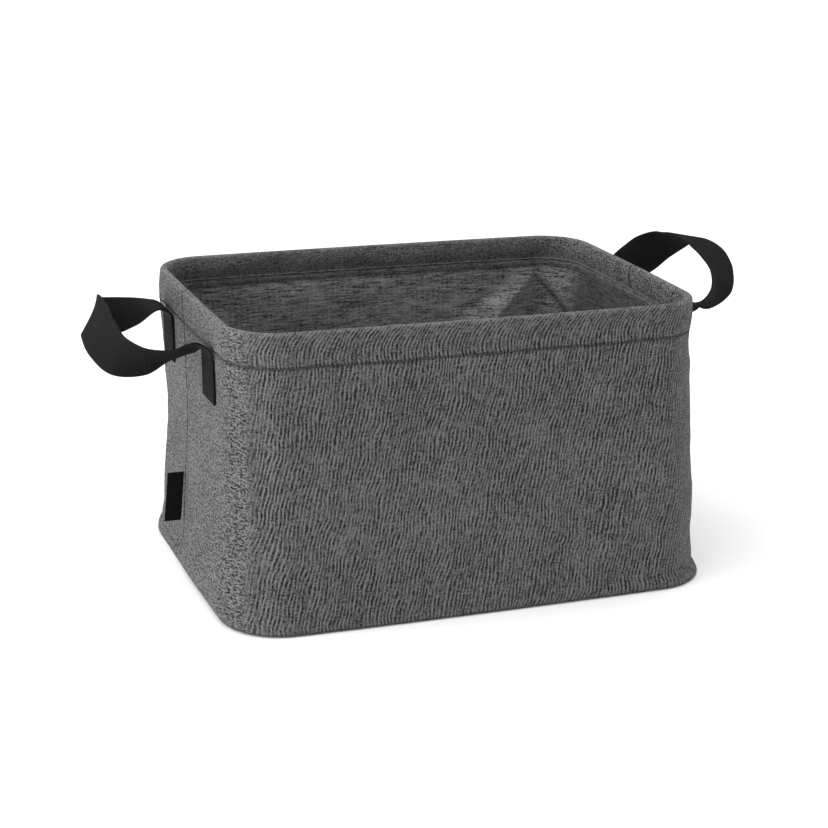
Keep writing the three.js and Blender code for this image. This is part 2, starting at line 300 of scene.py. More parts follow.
# Object coordinates in millimetres
def inPlace(tree):
    place = tree.nodes.new("ShaderNodeTexCoord")
    split = tree.nodes.new("ShaderNodeSeparateXYZ")
    tree.links.new(place.outputs["Object"], split.inputs[0])
    return [calc(tree, "MULTIPLY", split.outputs[k], 1 / mm) for k in range(3)]


def attribute(tree, name):
    node = tree.nodes.new("ShaderNodeAttribute")
    node.attribute_name = name
    return node.outputs["Fac"]


def useGroup(tree, name, **values):
    node = tree.nodes.new("ShaderNodeGroup")
    node.node_tree = groups[name]
    for label, value in values.items():
        plug(tree, node.inputs[spaced(label)], value)
    return node


def bump(tree, height, distance, strength=1.0):
    node = tree.nodes.new("ShaderNodeBump")
    node.inputs["Distance"].default_value = distance
    node.inputs["Strength"].default_value = strength
    tree.links.new(height, node.inputs["Height"])
    return node.outputs["Normal"]


def blankMaterial(name):
    material = bpy.data.materials.new(name)
    material.use_nodes = True
    tree = material.node_tree
    return material, tree, tree.nodes["Principled BSDF"]


def grey(value, warm=0.0):
    return (value * (1 + warm), value, value * (1 - warm * 0.4), 1)


clothFinishes = dict(
    outerCloth=dict(low=0.004, high=0.128, pitch=3.5, lean=0.2, curve=0.0, lines=0.8, slub=0.30,
                    slubLength=6, pepper=0.56, sheen=0.05, dust=0.22, wear=0.3),
    # hemCloth's lighter colour for rubbed edges also serves as the painted highlight along the facing's bottom
    # edge
    hemCloth=dict(low=0.004, high=0.128, pitch=3.5, lean=-0.28, curve=0.021, lines=0.8, slub=0.26,
                  slubLength=6, pepper=0.56, sheen=0.05, dust=0.26, wear=0.35),
    liningCloth=dict(low=0.018, high=0.225, pitch=5.5, lean=0.05, curve=0.0, lines=0.10, slub=0.62,
                     slubLength=15, pepper=0.26, sheen=0.02, dust=0.20, wear=0.2),
    foldedTape=dict(low=0.012, high=0.120, pitch=4.3, lean=0.3, curve=0.0, lines=0.10, slub=0.5,
                    slubLength=8, pepper=0.3, sheen=0.02, dust=0.30, wear=0.5))
clothSurface = dict(warm=0.02, roughLow=0.98, roughHigh=0.82, bumpDepth=0.00035, bumpStrength=0.8,
                    specular=0.2, sheenRough=0.5)


def clothMaterial(name):
    look = clothFinishes[name]
    material, tree, shader = blankMaterial(name)
    across, along = unrolled(tree)
    warm = clothSurface["warm"]
    strength = calc(tree, "MULTIPLY", attribute(tree, "lined"), look["lines"])
    same = {label: look[label] for label in ("lean", "curve", "slub", "slubLength", "pepper")}
    threads = useGroup(tree, "linen", across=across, along=along, linePitch=look["pitch"],
                       lineStrength=strength, **same).outputs
    # painted shade: fold creases, seams, the hem's and tape's edges, the foot and the lining's shaded ends are
    # darkened a little against the cloth round them
    light = calc(tree, "MULTIPLY", threads["Tone"], calc(tree, "SUBTRACT", 1, attribute(tree, "paintedShade")))
    tone = mixTones(tree, light, grey(look["low"], warm), grey(look["high"], warm))
    worn = useGroup(tree, "wear", color=tone, dust=grey(look["dust"], warm), worn=attribute(tree, "worn"),
                    amount=look["wear"], across=across, along=along)
    rough = ramp(tree, threads["Tone"], 0, 1, clothSurface["roughLow"], clothSurface["roughHigh"])
    normal = bump(tree, threads["Height"], clothSurface["bumpDepth"], clothSurface["bumpStrength"])
    tree.links.new(worn.outputs["Color"], shader.inputs["Base Color"])
    tree.links.new(rough, shader.inputs["Roughness"])
    tree.links.new(normal, shader.inputs["Normal"])
    shader.inputs["Specular IOR Level"].default_value = clothSurface["specular"]
    shader.inputs["Sheen Weight"].default_value = look["sheen"]
    shader.inputs["Sheen Roughness"].default_value = clothSurface["sheenRough"]
    return material


# Black and grey woven goods; none has any sheen
weaveFinishes = dict(
    blackWebbing=dict(low=0.001, high=0.0085, rib=1.7, yarn=1.15, rough=0.8, specular=0.10, dust=0.02),
    # the strap ends are the same webbing as the loops, made darker as painted shade where they lie against the
    # end walls
    shadedWebbing=dict(low=0.0008, high=0.0052, rib=1.7, yarn=1.15, rough=0.8, specular=0.08, dust=0.02),
    bindingTape=dict(low=0.002, high=0.010, rib=1.1, yarn=0.8, rough=0.9, specular=0.15, dust=0.03),
    blackLabel=dict(low=0.001, high=0.0045, rib=0.45, yarn=0.5, rough=0.7, specular=0.08, dust=0.02),
    blackThread=dict(low=0.002, high=0.012, rib=0.6, yarn=0.4, rough=0.6, specular=0.2, dust=0.03),
    greyThread=dict(low=0.16, high=0.34, rib=0.6, yarn=0.4, rough=0.7, specular=0.25, dust=0.1))
weaveSurface = dict(warm=0.02, plainWear=0.3, wear=0.3, bumpDepth=0.00022, bumpStrength=0.7)


def weaveMaterial(name, onObject=False):
    look = weaveFinishes[name]
    material, tree, shader = blankMaterial(name)
    if onObject:
        x, y, along = inPlace(tree)
        across, wornMask = calc(tree, "ADD", x, y), weaveSurface["plainWear"]
    else:
        across, along = unrolled(tree)
        wornMask = attribute(tree, "worn")
    ribs = useGroup(tree, "rib", across=across, along=along, ribPitch=look["rib"], yarnPitch=look["yarn"])
    tone = mixTones(tree, ribs.outputs["Tone"], grey(look["low"]), grey(look["high"], weaveSurface["warm"]))
    worn = useGroup(tree, "wear", color=tone, dust=grey(look["dust"]), worn=wornMask,
                    amount=weaveSurface["wear"], across=across, along=along)
    normal = bump(tree, ribs.outputs["Height"], weaveSurface["bumpDepth"], weaveSurface["bumpStrength"])
    tree.links.new(worn.outputs["Color"], shader.inputs["Base Color"])
    tree.links.new(normal, shader.inputs["Normal"])
    shader.inputs["Roughness"].default_value = look["rough"]
    shader.inputs["Specular IOR Level"].default_value = look["specular"]
    return material


plainFinishes = dict(
    undersideFleece=dict(low=0.006, high=0.024, cell=2.4, rough=0.95, metal=0.0, relief=0.0004),
    greyBoard=dict(low=0.17, high=0.30, cell=0.8, rough=0.85, metal=0.0, relief=0.0001),
    foamSheet=dict(low=0.55, high=0.72, cell=0.6, rough=0.95, metal=0.0, relief=0.0003),
    zincWire=dict(low=0.30, high=0.52, cell=3.0, rough=0.38, metal=1.0, relief=0.00005))
grain = dict(slant=0.7, cloudSize=40, cloudSeed=7.0, fineShare=0.7, cloudShare=0.3, warm=0.03, polish=0.85)


def grainyMaterial(name):
    look = plainFinishes[name]
    material, tree, shader = blankMaterial(name)
    x, y, z = inPlace(tree)
    slanted = calc(tree, "MULTIPLY", z, grain["slant"])
    across, along = calc(tree, "ADD", x, slanted), calc(tree, "ADD", y, slanted)
    fine = streaks(tree, across, along, look["cell"], look["cell"], 3, 1.0)
    cloud = streaks(tree, across, along, grain["cloudSize"], grain["cloudSize"], 2, grain["cloudSeed"])
    tone = calc(tree, "ADD", calc(tree, "MULTIPLY", fine, grain["fineShare"]),
                calc(tree, "MULTIPLY", cloud, grain["cloudShare"]))
    tone = mixTones(tree, tone, grey(look["low"], grain["warm"]), grey(look["high"], grain["warm"]))
    rough = ramp(tree, fine, 0.2, 0.8, look["rough"], look["rough"] * grain["polish"])
    tree.links.new(tone, shader.inputs["Base Color"])
    tree.links.new(rough, shader.inputs["Roughness"])
    tree.links.new(bump(tree, fine, look["relief"]), shader.inputs["Normal"])
    shader.inputs["Metallic"].default_value = look["metal"]
    return material


materials = {name: clothMaterial(name) for name in clothFinishes}
unwrapped = ("blackWebbing", "shadedWebbing", "blackLabel")
materials.update({name: weaveMaterial(name, name not in unwrapped) for name in weaveFinishes})
materials.update({name: grainyMaterial(name) for name in plainFinishes})
print("materials ready:", len(materials))

# The outline of the bin, in millimetres

shell = dict(height=267, rimLength=220, rimWidth=150, rimCorner=45, baseLength=228, baseWidth=167,
             baseCorner=52, waistEnd=6, waistSide=4, bowEnd=2, bowSide=3, footHeight=12, footInset=6,
             leftSeam=20, seamGap=0.04, nominalHeight=130)


def sizeAt(z):
    share = z / shell["height"]
    waist = np.sin(np.pi * np.clip(share, 0, 1))
    foot = shell["footInset"] * np.clip(1 - z / shell["footHeight"], 0, None) ** 2
    halfLength = shell["baseLength"] + (shell["rimLength"] - shell["baseLength"]) * share
    halfWidth = shell["baseWidth"] + (shell["rimWidth"] - shell["baseWidth"]) * share
    radius = shell["baseCorner"] + (shell["rimCorner"] - shell["baseCorner"]) * share
    return halfLength - shell["waistEnd"] * waist - foot, halfWidth - shell["waistSide"] * waist - foot, radius


# Ten stretches, anticlockwise from the right seam: straights, and corners at 1, 3, 6 and 8.
# Stretches 0 to 4 are the back half, and 5 to 9 the front half.
def outlineAt(stretch, t, z, inset):
    halfLength, halfWidth, radius = sizeAt(z)
    hl, hw, r = halfLength - inset, halfWidth - inset, radius - inset
    fx, fy = hl - r, hw - r
    seam = shell["leftSeam"]
    straights = {0: (hl, t * fy, 1, 0), 2: (fx * (1 - 2 * t), hw, 0, 1),
                 4: (-hl, fy + (seam - fy) * t, -1, 0), 5: (-hl, seam - (fy + seam) * t, -1, 0),
                 7: (fx * (2 * t - 1), -hw, 0, -1), 9: (hl, -fy * (1 - t), 1, 0)}
    corners = {1: (fx, fy, 0), 3: (-fx, fy, 1), 6: (-fx, -fy, 2), 8: (fx, -fy, 3)}
    x = np.zeros(np.broadcast(stretch, t, z, inset).shape)
    y, nx, ny = x.copy(), x.copy(), x.copy()
    for k, (px, py, qx, qy) in straights.items():
        on = np.broadcast_to(stretch == k, x.shape)
        x, y = np.where(on, px, x), np.where(on, py, y)
        nx, ny = np.where(on, qx, nx), np.where(on, qy, ny)
    for k, (cx, cy, quarter) in corners.items():
        on = np.broadcast_to(stretch == k, x.shape)
        angle = (quarter + t) * np.pi / 2
        x, y = np.where(on, cx + r * np.cos(angle), x), np.where(on, cy + r * np.sin(angle), y)
        nx, ny = np.where(on, np.cos(angle), nx), np.where(on, np.sin(angle), ny)
    bowX = shell["bowEnd"] * np.clip(1 - (y / hw) ** 2, 0, None) * x / hl
    bowY = shell["bowSide"] * np.clip(1 - (x / hl) ** 2, 0, None) * y / hw
    z = np.broadcast_to(z, x.shape)
    return np.stack([x + bowX, y + bowY, z], -1), np.stack([nx, ny, np.zeros(x.shape)], -1)


def stretchLengths():
    hl, hw, r = sizeAt(np.array(float(shell["nominalHeight"])))
    fx, fy, arc, seam = hl - r, hw - r, r * np.pi / 2, shell["leftSeam"]
    return [float(v) for v in (fy, arc, 2 * fx, arc, fy - seam, fy + seam, arc, 2 * fx, arc, fy)]


lengths = stretchLengths()
starts = [sum(lengths[:k]) for k in range(11)]      # where each stretch begins, from the right seam
rightSeam, leftSeam, wholeWay = 0.0, starts[5], starts[10]
backHalf, frontHalf, wholeLoop = range(0, 5), range(5, 10), range(0, 10)


def columnsAlong(stretches, spacing):
    which, t = [], []
    for k in stretches:
        count = max(2, math.ceil(lengths[k] / spacing))
        which += [k] * count
        t += [i / count for i in range(count)]
    which, t = which + [stretches[-1]], t + [1.0]
    which, t = np.array(which), np.array(t)
    return which, t, np.array([starts[k] + lengths[k] * s for k, s in zip(which, t)])


# Soft relief of the cloth


def softNoise(points, seed, shortest, longest, waves=14):
    draw = np.random.default_rng(seed)
    total = np.zeros(points.shape[:-1])
    for _ in range(waves):
        direction = draw.normal(size=3)
        direction /= np.linalg.norm(direction)
        reach = draw.uniform(shortest, longest)
        total += np.sin(points @ direction * 2 * np.pi / reach + draw.uniform(0, 2 * np.pi))
    return total / math.sqrt(waves / 2) / 1.6


def hump(value, centre, width):
    return np.exp(-((value - centre) / width) ** 2)


# A share that grows from nothing at start to its most one reach further on
def rise(value, start, reach, least=0, most=1):
    return np.clip((value - start) / reach, least, most)


def fromSeam(u, seam):
    apart = np.abs(u - seam)
    return np.minimum(apart, wholeWay - apart)


def nearSeams(u, rightWidth, leftWidth):
    return np.maximum(hump(fromSeam(u, rightSeam), 0, rightWidth), hump(fromSeam(u, leftSeam), 0, leftWidth))


# The real bin isn't quite even: its foot stands a few millimetres further right than its rim.
# Each row is [height, shift], for the front right corner and the back left one.
leanRight = ((0, 13), (6, 8), (16, 1.5), (32, 3.5), (46, 5), (60, 6.5), (88, 8), (115, 7.2), (171, 6),
             (205, 4), (226, 0))
leanLeft = ((0, 0), (8, 4), (17, 8), (31, 8), (50, 6), (75, 5), (118, 4.5), (140, 2.5), (165, 0))
leanShape = dict(across=40, acrossReach=120, endFrom=90, seamSlip=8, slipTop=150, slipReach=110, slipWidth=130)


def lean(points, lowest=0):
    shape = leanShape
    x, y, z = points[..., 0], points[..., 1], np.maximum(points[..., 2], lowest)
    nearRight, nearLeft = (rise(way * x, shape["endFrom"], shape["endFrom"]) for way in (1, -1))
    towardsFront = rise(y, shape["across"], -shape["acrossReach"]) * nearRight
    towardsBack = rise(y, -shape["across"], shape["acrossReach"]) * nearLeft
    right = np.interp(z, *zip(*leanRight)) * towardsFront ** 2 * (3 - 2 * towardsFront)
    left = np.interp(z, *zip(*leanLeft)) * towardsBack ** 2 * (3 - 2 * towardsBack)
    # the left end's seam wanders rearward towards the floor
    slip = shape["seamSlip"] * rise(z, shape["slipTop"], -shape["slipReach"]) * nearLeft
    slip = slip * np.clip(1 - np.abs(y) / shape["slipWidth"], 0, 1)
    return points + np.stack([right + left, slip, np.zeros(x.shape)], -1)


wallShape = dict(soft=0.9, softReach=(75, 170), fine=0.22, fineReach=(16, 42), endCalm=0.9, belly=1.1,
                 topPin=0.4, seamDip=0.6, seamPucker=0.28, cornerRidge=1.5, pinch=2.0, backSpread=2.4,
                 drag=0.75, leftDrag=0.45, footSpread=3.2, footHeight=7)


# The outer cloth spreads where it stands on the floor, less so on the left end
def footSpread(u, z):
    places = (starts[3], starts[4], starts[6], starts[6] + 0.6 * lengths[6])
    spread = np.interp(u % wholeWay, places, (1, 0.25, 0.05, 1))
    return wallShape["footSpread"] * spread * hump(z, 0, wallShape["footHeight"])


# How far the outer cloth stands out from the plain outline
def wallRelief(stretch, u, z, points):
    w = wallShape
    soft = w["soft"] * softNoise(points, 11, *w["softReach"])
    soft = soft + w["fine"] * softNoise(points, 12, *w["fineReach"])
    onEnd = np.isin(stretch, (0, 4, 5, 9)) * rise(z, 165, 20)
    relief = soft * (1 - w["endCalm"] * onEnd) * rise(z, 2, 25, 0.1)
    relief = relief + w["belly"] * hump(z, 21, 13) + footSpread(u, z) - w["topPin"] * hump(z, 236.5, 4.5)
    # the front left corner is a soft crease, with a fold on each side of it
    crease = starts[6] + 0.5 * lengths[6] + 5 - 0.045 * z
    ridge = hump(u, crease, 4.5) - 0.75 * hump(u, crease + 13, 8) - 0.6 * hump(u, crease - 14, 8)
    relief = relief + w["cornerRidge"] * ridge * rise(z, 8, 30) * rise(z, 246, -30, 0.25)
    # the front right corner bulges and is pinched in below that; the back left one spreads at the top
    nearRight = hump(u, starts[8] + 0.55 * lengths[8], 42)
    relief = relief + w["pinch"] * nearRight * 0.5 * (hump(z, 84, 13) - hump(z, 40, 12))
    relief = relief + w["backSpread"] * hump(u, starts[3] + 0.5 * lengths[3], 26) * rise(z, 190, 46)
    # drag lines run up and left from the foot of that corner, and fainter ones from the left corner
    along = u - starts[8]
    slanted = 2 * np.pi * (0.55 * along + 0.84 * z)
    lines = np.sin(slanted / 27) + 0.6 * np.sin(slanted / 15 + 1)
    relief = relief + w["drag"] * hump(along, -45, 75) * hump(z, 62, 38) * lines
    lines = np.sin(2 * np.pi * (0.5 * (u - starts[7]) - 0.8 * z) / 24)
    relief = relief + w["leftDrag"] * hump(u, starts[7] + 30, 45) * hump(z, 40, 30) * lines
    for seam in (rightSeam, leftSeam):
        apart = fromSeam(u, seam)
        pucker = w["seamPucker"] * np.sin(2 * np.pi * z / 19 + seam) * hump(apart, 7, 6)
        relief = relief + pucker - w["seamDip"] * hump(apart, 0, 2.4)
    return relief


fanFold = dict(depth=22, apex=229, shift=-6, ridgeSlope=1.12, valleySlope=1.15, growBelow=44)


# Where the two edges of the fan-shaped fold run, as places along the outline
def fanEdges(below):
    top = starts[2] + fanFold["shift"]
    return top + fanFold["ridgeSlope"] * below, top - fanFold["valleySlope"] * below


# How much painted shade darkens the lining and the outer cloth, from 0 to 1: in the fan fold's crease and its
# shaded facet, at seams, under the tape and the hem, at the foot and on the lining's shaded ends
liningPaintedShade = dict(crease=1.0, inFold=0.3, seam=0.85, rightEnd=0.72, otherEnds=0.3, underTape=0.55)
wallPaintedShade = dict(underHem=0.4, foot=0.85, seam=0.45)


# Painted shade on the lining: a dark crease and a shaded facet in the fan fold, shaded ends, lines at the
# seams and a painted shadow under the tape
def liningShade(stretch, u, z):
    tone = liningPaintedShade
    below = np.clip(fanFold["apex"] - z, 0, None)
    ridge, valley = fanEdges(below)
    reach = np.clip(below / 5, 0, 1) * rise(z, 90, 60)
    inFold = (u > valley) * (u < ridge) * rise(u, valley, np.maximum(ridge - valley, 1))
    fold = np.maximum(tone["crease"] * hump(u, valley, 2.5), tone["inFold"] * inFold) * reach
    ends = tone["rightEnd"] * np.isin(stretch, (0, 9)) + tone["otherEnds"] * np.isin(stretch, (4, 5, 8))
    fading = np.clip(1 - 2.2 * (u - starts[1]) / lengths[1], 0, 1)
    ends = ends + tone["rightEnd"] * np.isin(stretch, 1) * fading
    seams = np.maximum(tone["seam"] * nearSeams(u, 1.5, 1.5), tone["underTape"] * hump(z, 235.6, 1.6))
    return np.maximum(np.maximum(fold, ends), seams)


# Painted shade on the outer cloth: a line under the hem's edge, a dark band at the foot and lines at the seams
def wallShade(stretch, u, z):
    foot = wallPaintedShade["foot"] * hump(z, layers["wallBottom"], 1.6)
    edges = np.maximum(wallPaintedShade["underHem"] * hump(z, 236.2, 0.8), foot)
    return np.maximum(edges, wallPaintedShade["seam"] * nearSeams(u, 0.9, 0.9))


liningShape = dict(stand=0.75, soft=0.75, softReach=(45, 120), fine=0.2, fineReach=(12, 30),
                   slack=((3, 2.2), (6, 1.6), (8, 1.8)), slackWander=9, seamLift=0.7, seamDip=0.3)


# How far the lining stands in from its place against the foam; it can't go the other way
def liningRelief(stretch, u, z, points):
    shape = liningShape
    soft = shape["stand"] + shape["soft"] * softNoise(points, 21, *shape["softReach"])
    soft = soft + shape["fine"] * softNoise(points, 22, *shape["fineReach"])
    inward = np.clip(soft, 0, 3) * rise(z, 12, 20, 0.2) + footSpread(u, z)
    # slack in the back right corner gathers into a fan-shaped fold below the hem
    below = np.clip(fanFold["apex"] - z, 0, None)
    grow = np.clip(below / fanFold["growBelow"], 0, 1) ** 0.8 * rise(z, 60, 90)
    ridge, valley = fanEdges(below)
    pastRidge = np.clip(1 - (u - ridge) / (12 + 0.55 * below), 0, 1) ** 1.5
    between = rise(u, valley, np.maximum(ridge - valley, 1)) ** 0.9
    pastValley = 0.55 * rise(u, valley, -(8 + 0.25 * below)) * rise(u, starts[1] - 20, 45)
    fold = np.where(u > ridge, pastRidge, np.where(u > valley, between, pastValley))
    inward = inward * (1 - 0.7 * grow * hump(u, valley, 5)) + fanFold["depth"] * grow * fold
    # smaller slack in the other corners
    for corner, size in shape["slack"]:
        middle = starts[corner] + 0.5 * lengths[corner] + shape["slackWander"] * np.sin(z / 31 + corner)
        inward = inward + size * hump(u, middle, 9 + corner) * rise(z, 20, 40)
    for seam in (rightSeam, leftSeam):
        apart = fromSeam(u, seam)
        inward = inward + shape["seamLift"] * hump(apart, 5, 3) - shape["seamDip"] * hump(apart, 0, 1.5)
    return np.clip(inward, 0, None) * rise(z, 237, -9, 0.08)


# Where the cloth shows its fine lines: all of the long sides, fading out round the corners
def linedShare(stretch, t):
    share = np.isin(stretch, (2, 7)).astype(float)
    share = share + np.isin(stretch, 1) * np.clip(1.5 * t - 0.5, 0, 1)
    share = share + np.isin(stretch, 6) * np.clip(5 * t - 2.1, 0, 1)
    return share + np.isin(stretch, (3, 8)) * np.clip(1 - 1.5 * t, 0, 1)


# Mesh building


def objectFrom(name, points, faces, uvs, marks, material):
    mesh = bpy.data.meshes.new(name)
    mesh.from_pydata((np.asarray(points) * mm).tolist(), [], faces)
    layer = mesh.uv_layers.new(name="unrolled")
    layer.data.foreach_set("uv", (np.asarray(uvs) * mm).ravel())
    for label, values in marks.items():
        field = mesh.attributes.new(label, "FLOAT", "POINT")
        field.data.foreach_set("value", np.asarray(values, dtype=float).ravel())
    mesh.materials.append(material)
    mesh.polygons.foreach_set("use_smooth", [True] * len(mesh.polygons))
    mesh.update()
    return linked(name, mesh)


# Length run so far at each point of a path
def runAlong(path):
    return np.concatenate([[0], np.cumsum(np.linalg.norm(np.diff(path, axis=0), axis=1))])


# A skin given as rows by columns of points, closed round its section (rows) and either
# closed round its columns too, or capped at both ends
def tubeOfRows(name, rows, across, along, marks, material, closedColumns):
    rowCount, columnCount = rows.shape[:2]
    points = rows.reshape(-1, 3)
    faces, uvs = [], []
    runs = columnCount if closedColumns else columnCount - 1
    for i in range(rowCount):
        nextRow = (i + 1) % rowCount
        for j in range(runs):
            nextColumn = (j + 1) % columnCount
            faces.append((i * columnCount + j, i * columnCount + nextColumn,
                          nextRow * columnCount + nextColumn, nextRow * columnCount + j))
            u0, u1 = across[j], across[j + 1]
            v0, v1 = along[i], along[i + 1]
            uvs += [(u0, v0), (u1, v0), (u1, v1), (u0, v1)]
    if not closedColumns:
        first = [i * columnCount for i in range(rowCount)]
        last = [i * columnCount + columnCount - 1 for i in range(rowCount)][::-1]
        for cap in (first, last):
            faces.append(cap)
            uvs += [(across[0], along[0])] * len(cap)
    values = {label: np.asarray(value).reshape(-1) for label, value in marks.items()}
    return objectFrom(name, points, faces, uvs, values, material)


# The two halves stop a hair short of the side seams, so that they never share a face
def openSeams(points, stretches):
    for end in (0, -1):
        points[:, end, 1] += shell["seamGap"] * (1 if stretches[0] == 0 else -1)


# Cloth of one thickness between two heights, on some stretches of the outline
def clothBand(name, stretches, heights, inset, thickness, spacing, relief, material, shade=None, leanFrom=0):
    stretch, t, u = columnsAlong(stretches, spacing)
    closed = len(stretches) == 10
    if closed:
        stretch, t = stretch[:-1], t[:-1]
    place = u[:len(stretch)]
    z = np.array(heights, float)[:, None]
    grids = []
    for depth in (inset, inset + thickness):
        points, normals = outlineAt(stretch[None], t[None], z, np.array(float(depth)))
        shift = relief(stretch[None], place[None], z, points)
        points = lean(points + normals * shift[..., None], leanFrom)
        if not closed:
            openSeams(points, stretches)
        grids.append(points)
    rows = np.concatenate([grids[0], grids[1][::-1]])
    along = list(heights) + list(heights)[::-1] + [heights[0]]
    lined = np.broadcast_to(linedShare(stretch, t), rows.shape[:2])
    paintedShade = shade(stretch[None], place[None], rows[..., 2]) if shade else np.zeros(rows.shape[:2])
    edges = np.concatenate([z[:, 0], z[::-1, 0]])
    worn = 0.35 * hump(edges, heights[0], 9)[:, None] + 0.5 * nearSeams(place, 3, 3)[None]
    return tubeOfRows(name, rows, u, along, dict(lined=lined, worn=worn, paintedShade=paintedShade), material, closed)


def evenHeights(bottom, top, step, extra=()):
    count = max(2, round((top - bottom) / step))
    rows = {round(bottom + (top - bottom) * i / count, 3) for i in range(count + 1)} | set(extra)
    return sorted(rows)


layers = dict(wallBottom=1.4, wallTop=236.0, foamBottom=12.0, liningBottom=5.6, leanFrom=16,
              clothThickness=1.0, foamInset=1.3, foamThickness=2.0, liningInset=3.6, liningThickness=0.8,
              fine=2.6, foamStep=9.0, footRows=(2.0, 2.8, 3.8, 5.2, 6.8, 8.6, 11.0))


def liningMove(stretch, u, z, points):
    return wallRelief(stretch, u, z, points) - liningRelief(stretch, u, z, points)


def buildWalls():
    top, fine, coarse, leanFrom = (layers[key] for key in ("wallTop", "fine", "foamStep", "leanFrom"))
    outerRows = evenHeights(layers["wallBottom"], top, fine, layers["footRows"])
    innerRows = evenHeights(layers["liningBottom"], top, fine)
    foamRows = evenHeights(layers["foamBottom"], top, coarse)
    made = {}
    for side, stretches in (("Back", backHalf), ("Front", frontHalf)):
        for name, *settings in (
                ("outerWall", outerRows, 0.0, layers["clothThickness"], fine, wallRelief,
                 materials["outerCloth"], wallShade),
                ("wallFoam", foamRows, layers["foamInset"], layers["foamThickness"], coarse, wallRelief,
                 materials["foamSheet"], None, leanFrom),
                ("liningWall", innerRows, layers["liningInset"], layers["liningThickness"], fine,
                 liningMove, materials["liningCloth"], liningShade, leanFrom)):
            made[name + side] = clothBand(name + side, stretches, *settings)
    return made


walls = buildWalls()
print("walls, foam and lining made")

# Hem casing, tape and base lining

hem = dict(bottom=236.3, facingBottom=243.5, facingInset=4.6, wireRadius=3.8, wireHeight=263.2,
           thickness=1.0, outerPuff=0.9, innerPuff=1.5, spacing=2.6, slack=0.9,
           fineSlack=0.35, seamDip=0.55, seamSlant=0.38, insideLines=0.35, facingHighlight=6, hemEdgeShade=0.4,
           seamShade=0.8)


# The casing's outer surface as points of [inset, height, length along the cloth]
def casingProfile():
    outside, radius = [], hem["wireRadius"]
    for z in np.linspace(hem["bottom"], hem["wireHeight"], 12)[:-1]:
        share = (z - hem["bottom"]) / (hem["wireHeight"] - hem["bottom"])
        outside.append((-hem["outerPuff"] * math.sin(math.pi * share) * (1 - 0.3 * share), z))
    for k in range(11):
        angle = math.pi * k / 10
        outside.append((radius * (1 - math.cos(angle)), hem["wireHeight"] + radius * math.sin(angle)))
    width = 2 * radius
    for k in range(1, 11):
        share = k / 10
        z = hem["wireHeight"] + (hem["facingBottom"] - hem["wireHeight"]) * share
        inset = width + (hem["facingInset"] + hem["thickness"] - width) * share ** 1.8
        outside.append((inset + hem["innerPuff"] * math.sin(math.pi * share ** 0.8), z))
    return np.array(outside)


def offsetInside(profile, distance):
    step = np.gradient(profile, axis=0)
    step /= np.linalg.norm(step, axis=1)[:, None]
    inner = profile + distance * np.stack([step[:, 1], -step[:, 0]], 1)
    inner[0, 1], inner[-1, 1] = profile[0, 1], profile[-1, 1]
    return inner


def hemRelief(stretch, u, z, points):
    share = np.clip((hem["wireHeight"] - z) / (hem["wireHeight"] - hem["bottom"]), 0, 1)
    return share * wallRelief(stretch, u, np.full_like(z, hem["bottom"]), points)


def buildCasing(side, stretches):
    outside = casingProfile()
    inside = offsetInside(outside, hem["thickness"])
    section = np.concatenate([outside, inside[::-1]])
    stretch, t, u = columnsAlong(stretches, hem["spacing"])
    z = section[:, 1][:, None]
    points, normals = outlineAt(stretch[None], t[None], z, section[:, 0][:, None])
    # both skins count as the outer leg from the seam up to the wire, and as the inside leg beyond it
    half = np.linspace(1, 0, len(outside)) ** 0.5
    outerLeg = np.concatenate([half, half[::-1]])[:, None] > 0.6
    relief = hemRelief(stretch[None], u[None], z, points) * outerLeg
    # the inside leg is slack between the wire and its stitching
    slack = hem["slack"] * softNoise(points, 31, 26, 75) + hem["fineSlack"] * softNoise(points, 32, 10, 22)
    slack = np.clip(slack, -0.6, 2) * rise(z, hem["facingBottom"], 4, 0.15)
    relief = relief - slack * rise(z, 262, -8) * ~outerLeg
    for seam in (rightSeam, leftSeam):
        relief = relief - hem["seamDip"] * hump(fromSeam(u[None], seam), 0, 1.8) * np.where(outerLeg, 1, -1)
    points = points + normals * relief[..., None]
    # the right seam slants where it crosses the inside leg
    slant = hem["seamSlant"] * np.clip(hem["wireHeight"] - points[..., 2], 0, None)
    points[..., 1] -= slant * hump(fromSeam(u[None], rightSeam), 0, 28) * ~outerLeg
    openSeams(points, stretches)
    out = runAlong(outside)
    along = list(out) + list(out[::-1]) + [0]
    lined = linedShare(stretch, t)[None] * np.where(outerLeg, 1, hem["insideLines"])
    # lighter along the rim's top edge, and a painted highlight on the fold along the facing's bottom edge
    worn = hump(z, shell["height"], 2.5) + hem["facingHighlight"] * hump(z, hem["facingBottom"], 1.0) * ~outerLeg
    # painted shade along the casing's bottom edge by the hem stitching, and at its seams
    paintedShade = np.maximum(hem["hemEdgeShade"] * hump(z, hem["bottom"], 0.9) * outerLeg,
                         hem["seamShade"] * nearSeams(u, 1.4, 0.9)[None])
    marks = dict(lined=lined, worn=np.broadcast_to(worn, lined.shape), paintedShade=paintedShade)
    return tubeOfRows("hemCasing" + side, points, u, along, marks, materials["hemCloth"], False)


tape = dict(inset=4.7, thickness=0.8, bottom=236.3, top=246.3, step=0.55, tuckHeight=242.6, tuckDepth=1.5,
            spacing=4.0, ridge=0.35, ridgeHeight=239.8, soft=0.12)


def tapeRelief(stretch, u, z, points):
    ridge = hump(z, tape["ridgeHeight"], 1.1) + 0.6 * hump(z, tape["bottom"], 0.7)
    tucked = tape["tuckDepth"] * rise(z, tape["tuckHeight"], 1.2)   # goes behind the facing
    return tucked - tape["ridge"] * ridge - tape["soft"] * softNoise(points, 41, 9, 30)


# Painted shade on the tape: a dark band where it tucks under the facing's edge and a fainter line near its
# bottom edge
def tapeShade(stretch, u, z):
    return 0.8 * hump(z, 243.4, 1.0) + 0.35 * hump(z, 237.2, 0.6)


